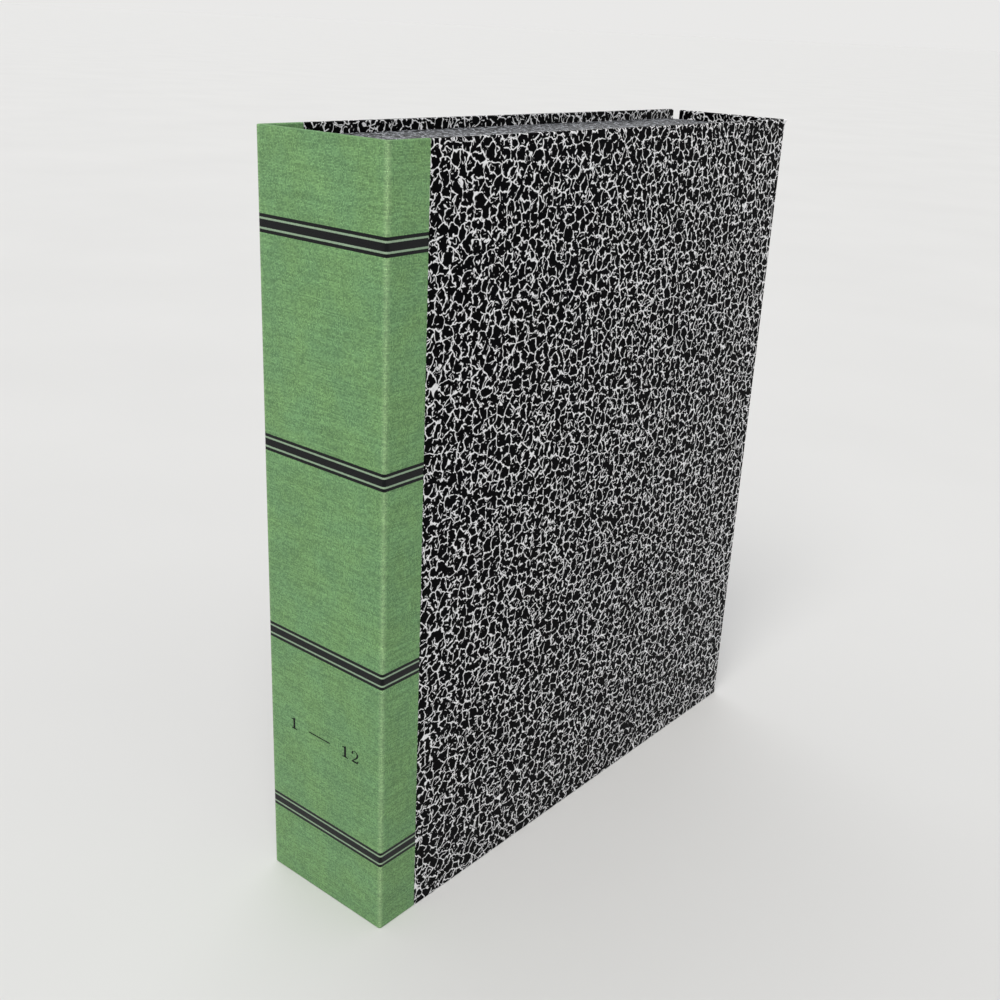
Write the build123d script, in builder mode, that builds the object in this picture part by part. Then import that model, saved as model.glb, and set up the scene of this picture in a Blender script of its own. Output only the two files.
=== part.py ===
from build123d import *
import os

# Book-shaped expanding file for letter paper, standing on its tail with the spine to the front.
# A cloth-backed case of four boards, back cover, spine, front cover and fore-edge flap, holds a
# shallow three-walled tray. A paper bellows of twelve pockets is pasted to the tray's base and to
# the front cover, so opening the cover fans the pockets out.
# Frame: +Z up, +X towards the front cover, -Y towards the spine, origin at the bottom centre.
# Millimetres.

# Driving dimensions of the closed file
file_height = 318.0
file_depth = 272.0
file_thickness = 66.5

# Case boards and what covers them
board = 2.0
skin = 0.3
turn_in = 15.0
cloth_lap = 20.5
edge_round = 0.5

# Fore-edge flap
flap_gap = 4.8

# Tray
recess = 4.4
tray_board = 2.0
tray_base = 1.5
swing_clearance = 0.4

# Bellows
pockets = 12
card = 0.5
bellows_clearance = 0.6
gusset_depth = 11.0
gusset_flange = 2.5
gusset_paper = 0.3
gusset_end_gap = 2.0
tongue_length = 9.0
tongue_margin = 1.5
tongue_round = 2.5
mouth_round = 6.0
label_paper = 0.2
label_margin = 1.2

# Derived planes shared by the pieces that meet on them
wall = skin + board + skin
x_back = -file_thickness / 2
x_front = file_thickness / 2
y_spine = -file_depth / 2
y_fore = file_depth / 2
x_back_inside = x_back + wall
x_front_inside = x_front - wall
y_spine_inside = y_spine + wall
y_fore_inside = y_fore - wall
corner = wall
x_front_fold = x_front - corner
y_spine_fold = y_spine + corner
y_fore_fold = y_fore - corner
y_cloth_edge = y_spine + cloth_lap
x_flap_free = x_back_inside + flap_gap

z_tray_low = recess
z_tray_high = file_height - recess
x_tray_front = x_front_inside - swing_clearance
y_tray_fore = y_fore_inside - swing_clearance
z_inside_low = z_tray_low + skin + tray_board + skin
z_inside_high = z_tray_high - skin - tray_board - skin
y_tray_spine_inside = y_spine_inside + tray_board
x_base_front = x_back_inside + tray_base

z_panel_low = z_inside_low + bellows_clearance
z_panel_high = z_inside_high - bellows_clearance
y_panel_spine = y_tray_spine_inside + bellows_clearance
y_panel_mouth = y_tray_fore - bellows_clearance - tongue_length
pitch = (x_front_inside - card - x_base_front) / pockets
pocket_gap = pitch - card
tab_step = (z_panel_high - z_panel_low) / pockets

os.makedirs("parts", exist_ok=True)


def block(x, y, z, mode=Mode.ADD):
    """Adds or cuts a block between two x, two y and two z planes."""
    with Locations((x[0], y[0], z[0])):
        Box(x[1] - x[0], y[1] - y[0], z[1] - z[0], align=(Align.MIN,) * 3, mode=mode)


def save(piece, name):
    """Labels a finished piece and writes it to its own file."""
    piece.part.label = name
    export_step(piece.part, f"parts/{name}.step")


def outer_edges(builder, plane_x):
    """The head, tail and fore-edge corners of a cover's face on the plane x = plane_x."""
    on_face = builder.edges().filter_by(lambda e: abs(e.center().X - plane_x) < 1e-6)
    rims = on_face.filter_by(lambda e: abs(e.center().Z - file_height / 2) > file_height / 2 - 1e-6)
    return rims


# Boards

with BuildPart() as back_board:
    block(
        (x_back + skin, x_back + skin + board),
        (y_spine_fold, y_fore - skin),
        (skin, file_height - skin),
    )

with BuildPart() as spine_board:
    block(
        (x_back + corner, x_front_fold),
        (y_spine + skin, y_spine + skin + board),
        (skin, file_height - skin),
    )

with BuildPart() as front_board:
    block(
        (x_front_inside + skin, x_front - skin),
        (y_spine_fold, y_fore_fold),
        (skin, file_height - skin),
    )

with BuildPart() as flap_board:
    block(
        (x_flap_free + skin, x_front_fold),
        (y_fore_inside + skin, y_fore - skin),
        (skin, file_height - skin),
    )

# Paper and cloth on the boards, each wrapped over the head and tail and turned in

with BuildPart() as back_paper:
    block((x_back, x_back_inside), (y_cloth_edge, y_fore), (0, file_height))
    fillet(outer_edges(back_paper, x_back), edge_round)
    block(
        (x_back + skin, x_back + skin + board),
        (y_cloth_edge, y_fore - skin),
        (skin, file_height - skin),
        Mode.SUBTRACT,
    )
    block(
        (x_back_inside - skin, x_back_inside),
        (y_cloth_edge, y_fore - turn_in),
        (turn_in, file_height - turn_in),
        Mode.SUBTRACT,
    )

with BuildPart() as front_paper:
    block((x_front_inside, x_front), (y_cloth_edge, y_fore_fold), (0, file_height))
    fillet(outer_edges(front_paper, x_front), edge_round)
    block(
        (x_front_inside + skin, x_front - skin),
        (y_cloth_edge, y_fore_fold),
        (skin, file_height - skin),
        Mode.SUBTRACT,
    )
    block(
        (x_front_inside, x_front_inside + skin),
        (y_cloth_edge, y_fore_fold),
        (turn_in, file_height - turn_in),
        Mode.SUBTRACT,
    )

with BuildPart() as front_cloth:
    block((x_front_inside, x_front), (y_spine_fold, y_cloth_edge), (0, file_height))
    fillet(outer_edges(front_cloth, x_front), edge_round)
    block(
        (x_front_inside + skin, x_front - skin),
        (y_spine_fold, y_cloth_edge),
        (skin, file_height - skin),
        Mode.SUBTRACT,
    )
    block(
        (x_front_inside, x_front_inside + skin),
        (y_spine_fold, y_cloth_edge),
        (turn_in, file_height - turn_in),
        Mode.SUBTRACT,
    )

with BuildPart() as flap_paper:
    block((x_flap_free, x_front_fold), (y_fore_inside, y_fore), (0, file_height))
    block(
        (x_flap_free + skin, x_front_fold),
        (y_fore_inside + skin, y_fore - skin),
        (skin, file_height - skin),
        Mode.SUBTRACT,
    )
    block(
        (x_flap_free + turn_in, x_front_fold),
        (y_fore_inside, y_fore_inside + skin),
        (turn_in, file_height - turn_in),
        Mode.SUBTRACT,
    )

with BuildPart() as back_cloth:
    block((x_back, x_back_inside), (y_spine_fold, y_cloth_edge), (0, file_height))
    fillet(outer_edges(back_cloth, x_back), edge_round)
    block(
        (x_back + skin, x_back + skin + board),
        (y_spine_fold, y_cloth_edge),
        (skin, file_height - skin),
        Mode.SUBTRACT,
    )
    block(
        (x_back_inside - skin, x_back_inside),
        (y_spine_fold, y_cloth_edge),
        (turn_in, file_height - turn_in),
        Mode.SUBTRACT,
    )

with BuildPart() as spine_cloth:
    with BuildSketch():
        with BuildLine():
            Polyline(
                (x_back, y_spine_fold),
                (x_back_inside, y_spine_fold),
                (x_front_fold, y_spine_inside),
                (x_front_fold, y_spine),
                (x_back + corner, y_spine),
            )
            RadiusArc((x_back + corner, y_spine), (x_back, y_spine_fold), corner)
        make_face()
    extrude(amount=file_height)
    block(
        (x_back + corner, x_front_fold),
        (y_spine + skin, y_spine + skin + board),
        (skin, file_height - skin),
        Mode.SUBTRACT,
    )
    block(
        (x_back + corner, x_front_fold),
        (y_spine_inside - skin, y_spine_inside),
        (turn_in, file_height - turn_in),
        Mode.SUBTRACT,
    )

# The folds that bend when the cover and the flap open


def fold(centre_x, centre_y, quadrant):
    """A quarter ring of covering as tall as the file, round the corner's centre."""
    with BuildPart() as ring:
        with BuildSketch():
            with Locations((centre_x, centre_y)):
                Circle(corner)
                Circle(corner - skin, mode=Mode.SUBTRACT)
                Rectangle(corner, corner, align=quadrant, mode=Mode.INTERSECT)
        extrude(amount=file_height)
    return ring


spine_fold = fold(x_front_fold, y_spine_fold, (Align.MIN, Align.MAX))
flap_fold = fold(x_front_fold, y_fore_fold, (Align.MIN, Align.MIN))

# Linings inside the turn-ins

with BuildPart() as back_lining:
    block(
        (x_back_inside - skin, x_back_inside),
        (y_spine_fold, y_fore - turn_in),
        (turn_in, file_height - turn_in),
    )

with BuildPart() as spine_lining:
    block(
        (x_back_inside, x_front_fold),
        (y_spine_inside - skin, y_spine_inside),
        (turn_in, file_height - turn_in),
    )

with BuildPart() as front_lining:
    block(
        (x_front_inside, x_front_inside + skin),
        (y_spine_fold, y_fore_fold),
        (turn_in, file_height - turn_in),
    )

with BuildPart() as flap_lining:
    block(
        (x_flap_free + turn_in, x_front_fold),
        (y_fore_inside, y_fore_inside + skin),
        (turn_in, file_height - turn_in),
    )

# Tray: base, spine wall, head wall and tail wall, with marbled paper on the head and tail

with BuildPart() as tray_base_board:
    block(
        (x_back_inside, x_base_front),
        (y_spine_inside, y_tray_fore - skin),
        (z_tray_low + skin, z_tray_high - skin),
    )

with BuildPart() as tray_spine_wall:
    block(
        (x_base_front, x_tray_front),
        (y_spine_inside, y_tray_spine_inside),
        (z_inside_low, z_inside_high),
    )

with BuildPart() as tray_head_wall:
    block(
        (x_base_front, x_tray_front - skin),
        (y_spine_inside, y_tray_fore - skin),
        (z_inside_high + skin, z_tray_high - skin),
    )

with BuildPart() as tray_tail_wall:
    block(
        (x_base_front, x_tray_front - skin),
        (y_spine_inside, y_tray_fore - skin),
        (z_tray_low + skin, z_inside_low - skin),
    )

with BuildPart() as tray_head_paper:
    block(
        (x_back_inside, x_tray_front),
        (y_spine_inside, y_tray_fore),
        (z_inside_high, z_tray_high),
    )
    block(
        (x_back_inside, x_tray_front - skin),
        (y_spine_inside, y_tray_fore - skin),
        (z_inside_high + skin, z_tray_high - skin),
        Mode.SUBTRACT,
    )
    block(
        (x_back_inside, x_base_front),
        (y_spine_inside, y_tray_fore - skin),
        (z_inside_high, z_inside_high + skin),
        Mode.SUBTRACT,
    )

with BuildPart() as tray_tail_paper:
    mirror(tray_head_paper.part, about=Plane.XY.offset(file_height / 2))

# Bellows: card panels, the folded gussets between them and the numbered labels


def panel(index, tongue_slot):
    """A card panel at its place in the bellows, with a tongue in its slot down the fore-edge.

    Panel 0 is on the tray's base. The slots count down from the head, and None leaves it plain.
    """
    x = x_base_front + index * pitch
    with BuildPart() as sheet:
        with BuildSketch(Plane.YZ.offset(x)):
            with Locations((y_panel_spine, z_panel_low)):
                Rectangle(
                    y_panel_mouth - y_panel_spine,
                    z_panel_high - z_panel_low,
                    align=(Align.MIN, Align.MIN),
                )
            mouth = vertices().group_by(Axis.X)[-1]
            fillet(mouth, mouth_round)
            if tongue_slot is not None:
                z_slot = z_panel_high - (tongue_slot + 0.5) * tab_step
                with Locations((y_panel_mouth - mouth_round, z_slot)):
                    Rectangle(
                        tongue_length + mouth_round,
                        tab_step - 2 * tongue_margin,
                        align=(Align.MIN, Align.CENTER),
                    )
                tips = vertices().group_by(Axis.X)[-1]
                fillet(tips, tongue_round)
        extrude(amount=card)
    return sheet


def gusset(index):
    """The folded paper round three sides of a pocket, pasted to the panels on either side."""
    x_low = x_base_front + index * pitch + card
    x_high = x_low + pocket_gap
    x_middle = (x_low + x_high) / 2
    apex_paper = gusset_paper * 2 * (gusset_depth - gusset_flange) / pocket_gap
    y_end = y_panel_mouth - mouth_round - gusset_end_gap
    with BuildPart() as bellows:
        with BuildLine() as edge_path:
            Polyline(
                (x_low, y_end, z_panel_low),
                (x_low, y_panel_spine, z_panel_low),
                (x_low, y_panel_spine, z_panel_high),
                (x_low, y_end, z_panel_high),
            )
        with BuildSketch(Plane(origin=(0, y_end, z_panel_low), x_dir=(1, 0, 0), z_dir=(0, -1, 0))):
            with BuildLine():
                Polyline(
                    (x_low, 0),
                    (x_low, gusset_flange),
                    (x_middle, gusset_depth),
                    (x_high, gusset_flange),
                    (x_high, 0),
                    (x_high - gusset_paper, 0),
                    (x_high - gusset_paper, gusset_flange),
                    (x_middle, gusset_depth - apex_paper),
                    (x_low + gusset_paper, gusset_flange),
                    (x_low + gusset_paper, 0),
                    close=True,
                )
            make_face()
        sweep(path=edge_path.wires()[0], transition=Transition.RIGHT)
    return bellows


def label(index, tongue_slot):
    """The paper label on the front of a panel's tongue."""
    x = x_base_front + index * pitch + card
    z_slot = z_panel_high - (tongue_slot + 0.5) * tab_step
    half_height = tab_step / 2 - tongue_margin - label_margin
    with BuildPart() as sticker:
        block(
            (x, x + label_paper),
            (y_panel_mouth + label_margin, y_panel_mouth + tongue_length - label_margin),
            (z_slot - half_height, z_slot + half_height),
        )
    return sticker


# Files, one for each piece

save(back_board, "back_board")
save(spine_board, "spine_board")
save(front_board, "front_board")
save(flap_board, "flap_board")
save(back_paper, "back_cover_paper")
save(front_paper, "front_cover_paper")
save(front_cloth, "front_cover_cloth")
save(back_cloth, "back_cover_cloth")
save(flap_paper, "flap_paper")
save(spine_cloth, "spine_cloth")
save(spine_fold, "spine_hinge_fold")
save(flap_fold, "flap_hinge_fold")
save(back_lining, "back_lining")
save(spine_lining, "spine_lining")
save(front_lining, "front_lining")
save(flap_lining, "flap_lining")
save(tray_base_board, "tray_base")
save(tray_spine_wall, "tray_spine_wall")
save(tray_head_wall, "tray_head_wall")
save(tray_tail_wall, "tray_tail_wall")
save(tray_head_paper, "tray_head_paper")
save(tray_tail_paper, "tray_tail_paper")

save(panel(0, pockets - 1), "bellows_back_panel")
save(panel(pockets, None), "bellows_front_panel")
for number in range(1, pockets):
    save(panel(number, pockets - 1 - number), f"divider_{number:02d}")
for number in range(1, pockets + 1):
    save(gusset(pockets - number), f"gusset_{number:02d}")
    save(label(pockets - number, number - 1), f"index_label_{number:02d}")
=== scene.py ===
"""The looks of a book-shaped expanding file: cloth, marbled paper, bellows, numbers, floor and light."""
import logging
import math
from dataclasses import dataclass, field
from enum import Enum
from typing import Callable, Optional, Sequence, Union

import bmesh
import bpy
from mathutils import Matrix, Vector


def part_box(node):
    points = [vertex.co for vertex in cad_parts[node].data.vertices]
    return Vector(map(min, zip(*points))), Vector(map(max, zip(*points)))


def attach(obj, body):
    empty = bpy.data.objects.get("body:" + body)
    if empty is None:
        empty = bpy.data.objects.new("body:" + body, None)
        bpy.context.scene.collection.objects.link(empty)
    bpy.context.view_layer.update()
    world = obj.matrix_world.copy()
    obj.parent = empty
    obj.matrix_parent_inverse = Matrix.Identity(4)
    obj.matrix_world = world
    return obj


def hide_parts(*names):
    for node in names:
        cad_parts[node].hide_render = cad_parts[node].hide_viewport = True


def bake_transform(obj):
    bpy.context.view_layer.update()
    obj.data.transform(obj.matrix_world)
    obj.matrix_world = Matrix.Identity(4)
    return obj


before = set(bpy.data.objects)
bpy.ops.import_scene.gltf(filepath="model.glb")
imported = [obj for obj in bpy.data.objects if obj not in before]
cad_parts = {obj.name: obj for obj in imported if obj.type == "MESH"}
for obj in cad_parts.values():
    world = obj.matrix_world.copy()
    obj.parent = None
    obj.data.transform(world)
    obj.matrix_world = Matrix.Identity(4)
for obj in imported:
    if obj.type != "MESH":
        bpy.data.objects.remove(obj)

log = logging.getLogger("expanding_file")

MM = 0.001
PER_METRE = (1000.0, 1000.0, 1000.0)
SAME_PLACE = 1e-6
TYPE_MERGE = 1e-7
FACING, SQUARE_ON = 0.5, 0.9
ACROSS, ALONG, UP = 0, 1, 2
EDGE_SEGMENTS = 3
JOINT_ROWS = (0.5, 1.0)
SHEET = "sheet"

Piece = bpy.types.Object
Socket = bpy.types.NodeSocket
Input = Union[float, Socket]
Color = tuple[float, float, float]
Outline = list[tuple[float, float, bool]]


class Body(Enum):
    """The moving bodies of the file."""

    CASE = "case"
    COVER = "front_cover"
    FLAP = "fore_edge_flap"


class Slot(Enum):
    """The record's material slots."""

    BOARD = "greyboard"
    CLOTH = "bookcloth"
    MARBLED = "marbled_paper"
    LINING = "lining_paper"
    CARD = "card"
    GUSSET = "gusset_paper"
    LABEL = "label_paper"


class Select(Enum):
    """What an edit-mode selection is made of."""

    VERTS = (True, False, False)
    EDGES = (False, True, False)
    FACES = (False, False, True)


# Sizes


@dataclass(frozen=True)
class FileSizes:
    """The planes that the pieces share, in metres, read from the CAD nodes.

    Args:
        height: Top of the covers.
        x_back: Outer face of the back cover.
        x_front: Outer face of the front cover.
        y_spine: Outer face of the spine.
        y_fore: Outer face of the flap.
        wall: Thickness of a covered board.
        y_cloth_edge: Where the cloth ends and the marbled paper starts.
        x_flap_free: The flap's free edge.
        pockets: Number of pockets in the bellows.
    """

    height: float
    x_back: float
    x_front: float
    y_spine: float
    y_fore: float
    wall: float
    y_cloth_edge: float
    x_flap_free: float
    pockets: int = 12

    @classmethod
    def from_frame(cls) -> "FileSizes":
        """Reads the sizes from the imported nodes."""
        back_low, back_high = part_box("back_cover_paper")
        front_low, front_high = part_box("front_cover_paper")
        flap_low, flap_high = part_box("flap_paper")
        return cls(
            height=back_high.z,
            x_back=back_low.x,
            x_front=front_high.x,
            y_spine=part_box("spine_cloth")[0].y,
            y_fore=flap_high.y,
            wall=front_high.x - front_low.x,
            y_cloth_edge=front_low.y,
            x_flap_free=flap_low.x,
        )

    @property
    def x_back_inside(self) -> float:
        """Inner face of the back cover."""
        return self.x_back + self.wall

    @property
    def x_front_inside(self) -> float:
        """Inner face of the front cover."""
        return self.x_front - self.wall

    @property
    def y_spine_inside(self) -> float:
        """Inner face of the spine."""
        return self.y_spine + self.wall

    @property
    def y_fore_inside(self) -> float:
        """Inner face of the flap."""
        return self.y_fore - self.wall

    def turned_in(self, point: Vector) -> float:
        """How far up a flat sheet a point on its inner side lies, past the head."""
        return 2 * self.height + self.wall - point.z


# Modelling steps


class Bench:
    """The modelling operators, each as a step that starts from a known selection."""

    @staticmethod
    def clear() -> None:
        """Leaves edit mode and deselects everything."""
        if bpy.context.object and bpy.context.object.mode != "OBJECT":
            bpy.ops.object.mode_set(mode="OBJECT")
        bpy.ops.object.select_all(action="DESELECT")

    @staticmethod
    def take(piece: Piece) -> None:
        """Makes a piece the one selected and active object."""
        Bench.clear()
        piece.select_set(True)
        bpy.context.view_layer.objects.active = piece

    @staticmethod
    def block(name: str, low: Sequence[float], high: Sequence[float]) -> Piece:
        """Adds a cube primitive between two corners.

        Args:
            name: The piece's name.
            low: Lowest corner, in metres.
            high: Highest corner, in metres.

        Returns:
            The new piece, with its place in its mesh.
        """
        Bench.clear()
        low, high = Vector(low), Vector(high)
        bpy.ops.mesh.primitive_cube_add(size=1, location=(low + high) / 2)
        piece = bpy.context.object
        piece.name = piece.data.name = name
        piece.scale = high - low
        bpy.ops.object.transform_apply(location=True, rotation=True, scale=True)
        return piece

    @staticmethod
    def pick(piece: Piece, kind: Select, test: Callable[[object], bool]) -> int:
        """Enters edit mode and selects the elements that pass a test.

        Args:
            piece: The piece to edit.
            kind: Whether vertices, edges or faces are selected.
            test: Says whether a bmesh element is selected.

        Returns:
            How many elements are selected.
        """
        if bpy.context.object is not piece or piece.mode != "EDIT":
            Bench.take(piece)
            bpy.ops.object.mode_set(mode="EDIT")
        bpy.context.tool_settings.mesh_select_mode = kind.value
        bpy.ops.mesh.select_all(action="DESELECT")
        mesh = bmesh.from_edit_mesh(piece.data)
        items = {Select.VERTS: mesh.verts, Select.EDGES: mesh.edges, Select.FACES: mesh.faces}[kind]
        chosen = [item for item in items if test(item)]
        for item in chosen:
            item.select_set(True)
        mesh.select_flush_mode()
        bmesh.update_edit_mesh(piece.data)
        return len(chosen)

    @staticmethod
    def cut(piece: Piece, at: Sequence[float], normal: Sequence[float], clear: bool = False) -> None:
        """Bisects the whole piece by a plane.

        Args:
            piece: The piece to cut.
            at: A point on the plane.
            normal: The plane's normal.
            clear: Whether what lies on the normal's side is removed.
        """
        Bench.pick(piece, Select.FACES, lambda face: True)
        bpy.ops.mesh.bisect(plane_co=at, plane_no=normal, clear_outer=clear, threshold=SAME_PLACE / 10)

    @staticmethod
    def extrude(piece: Piece, test: Callable[[object], bool], move: Sequence[float]) -> None:
        """Extrudes the faces that pass a test along a vector."""
        Bench.pick(piece, Select.FACES, test)
        bpy.ops.mesh.extrude_region_move(TRANSFORM_OT_translate={"value": tuple(move)})

    @staticmethod
    def bevel(piece: Piece, test: Callable[[object], bool], radius: float, segments: int) -> None:
        """Rounds the edges that pass a test."""
        if Bench.pick(piece, Select.EDGES, test):
            bpy.ops.mesh.bevel(
                offset=radius, offset_type="OFFSET", segments=segments, profile=0.5, affect="EDGES",
                clamp_overlap=False,
            )

    @staticmethod
    def merge(piece: Piece, distance: float) -> None:
        """Merges vertices closer than a distance and turns the faces outwards."""
        Bench.pick(piece, Select.VERTS, lambda vert: True)
        bpy.ops.mesh.remove_doubles(threshold=distance)
        bpy.ops.mesh.select_all(action="SELECT")
        bpy.ops.mesh.normals_make_consistent(inside=False)
        Bench.clear()

    @staticmethod
    def to_mesh(piece: Piece) -> Piece:
        """Turns a curve or a line of type into a mesh."""
        Bench.take(piece)
        bpy.ops.object.convert(target="MESH")
        return bpy.context.object

    @staticmethod
    def add(name: str, data: Optional[bpy.types.ID]) -> Piece:
        """Adds an object to the scene."""
        holder = bpy.data.objects.new(name, data)
        bpy.context.collection.objects.link(holder)
        return holder

    @staticmethod
    def finish(piece: Piece, smooth_angle: float = 35.0) -> Piece:
        """Merges doubles and shades the piece smooth up to an angle in degrees."""
        Bench.merge(piece, SAME_PLACE)
        Bench.take(piece)
        bpy.ops.object.shade_smooth_by_angle(angle=math.radians(smooth_angle))
        return piece

    @staticmethod
    def apply(piece: Piece) -> None:
        """Applies all of a piece's modifiers, in order."""
        Bench.take(piece)
        for modifier in list(piece.modifiers):
            bpy.ops.object.modifier_apply(modifier=modifier.name)

    @staticmethod
    def unwrap(piece: Piece, rule: Callable[[Vector, Vector], tuple[float, float]]) -> Piece:
        """Lays a piece's covering out flat in its sheet map, in metres.

        Args:
            piece: The finished piece.
            rule: Gives the flat place of a point, from the point and its face's normal.

        Returns:
            The piece.
        """
        Bench.clear()
        piece.data.uv_layers.new(name=SHEET)
        for other in [found for found in piece.data.uv_layers if found.name != SHEET]:
            piece.data.uv_layers.remove(other)
        layer = piece.data.uv_layers[SHEET]
        for polygon in piece.data.polygons:
            for loop in polygon.loop_indices:
                point = piece.data.vertices[piece.data.loops[loop].vertex_index].co
                layer.data[loop].uv = rule(point, polygon.normal)
        return piece


def upright(edge: bmesh.types.BMEdge) -> bool:
    """Whether an edge runs along Z."""
    first, second = (vert.co for vert in edge.verts)
    return abs(first.x - second.x) < SAME_PLACE and abs(first.y - second.y) < SAME_PLACE


def on_plane(edge: bmesh.types.BMEdge, axis: int, plane: float) -> bool:
    """Whether both ends of an edge lie on a plane across an axis."""
    return all(abs(vert.co[axis] - plane) < SAME_PLACE for vert in edge.verts)


def cap_rim(edge: bmesh.types.BMEdge, height: float) -> bool:
    """Whether an edge is a corner of the head or the tail face."""
    at_cap = on_plane(edge, UP, 0.0) or on_plane(edge, UP, height)
    return at_cap and any(abs(face.normal.z) < FACING for face in edge.link_faces)


def over_end(point: Vector, normal: Vector, depth: float) -> float:
    """How far up a flat sheet a point on the head or the tail face lies."""
    return point.z + depth if normal.z > 0 else -depth


def joint_rows(piece: Piece, sizes: FileSizes, y_inside: float, inward: int) -> None:
    """Cuts the rows of vertices over which a covering bends beside its fold."""
    for step in JOINT_ROWS:
        Bench.cut(piece, (sizes.x_front_inside - step * sizes.wall, 0, 0), (1, 0, 0))
        Bench.cut(piece, (0, y_inside + inward * step * sizes.wall, 0), (0, 1, 0))


# Finishes


class Graph:
    """A node tree while it is made.

    Args:
        tree: The tree.
    """

    def __init__(self, tree: bpy.types.NodeTree) -> None:
        self.tree = tree

    def node(
        self, kind: str, inputs: Optional[dict[object, object]] = None, **settings: object
    ) -> bpy.types.Node:
        """Adds a node.

        Args:
            kind: The node's type.
            inputs: Values or sockets for its inputs, by name or index.
            settings: The node's own properties.

        Returns:
            The node.
        """
        made = self.tree.nodes.new(kind)
        for key, value in settings.items():
            setattr(made, key, value)
        for key, value in (inputs or {}).items():
            self.feed(made.inputs[key], value)
        return made

    def feed(self, target: Socket, value: object) -> None:
        """Links a socket to an input, or sets the input's value."""
        if isinstance(value, bpy.types.NodeSocket):
            self.tree.links.new(value, target)
        elif target.type == "RGBA":
            target.default_value = (*value, 1.0)
        else:
            target.default_value = value

    def sum(self, operation: str, first: Input, second: Input = 0.0, third: Input = 0.0) -> Socket:
        """A math node's result."""
        return self.node("ShaderNodeMath", {0: first, 1: second, 2: third}, operation=operation).outputs[0]

    def chain(self, operation: str, *values: Input) -> Socket:
        """A math operation carried through a row of values."""
        result = values[0]
        for value in values[1:]:
            result = self.sum(operation, result, value)
        return result

    def product(self, *factors: Input) -> Socket:
        """The product of two or more values."""
        return self.chain("MULTIPLY", *factors)

    def apart(self, value: Input, mark: float) -> Socket:
        """How far a value is from a mark."""
        return self.sum("ABSOLUTE", self.sum("SUBTRACT", value, mark))

    def vector(self, operation: str, first: object, second: object = (0.0, 0.0, 0.0)) -> Socket:
        """A vector math node's result."""
        return self.node("ShaderNodeVectorMath", {0: first, 1: second}, operation=operation).outputs[0]

    def ramp(self, value: Input, low: float, high: float, start: float = 0.0, end: float = 1.0) -> Socket:
        """Maps low to high on to start to end, held at both ends."""
        span = {"Value": value, "From Min": low, "From Max": high, "To Min": start, "To Max": end}
        return self.node("ShaderNodeMapRange", span, clamp=True).outputs[0]

    def mix(self, share: Input, first: object, second: object) -> Socket:
        """Mixes two colours."""
        made = self.node("ShaderNodeMix", data_type="RGBA")
        for index, value in ((0, share), (6, first), (7, second)):
            self.feed(made.inputs[index], value)
        return made.outputs[2]


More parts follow.
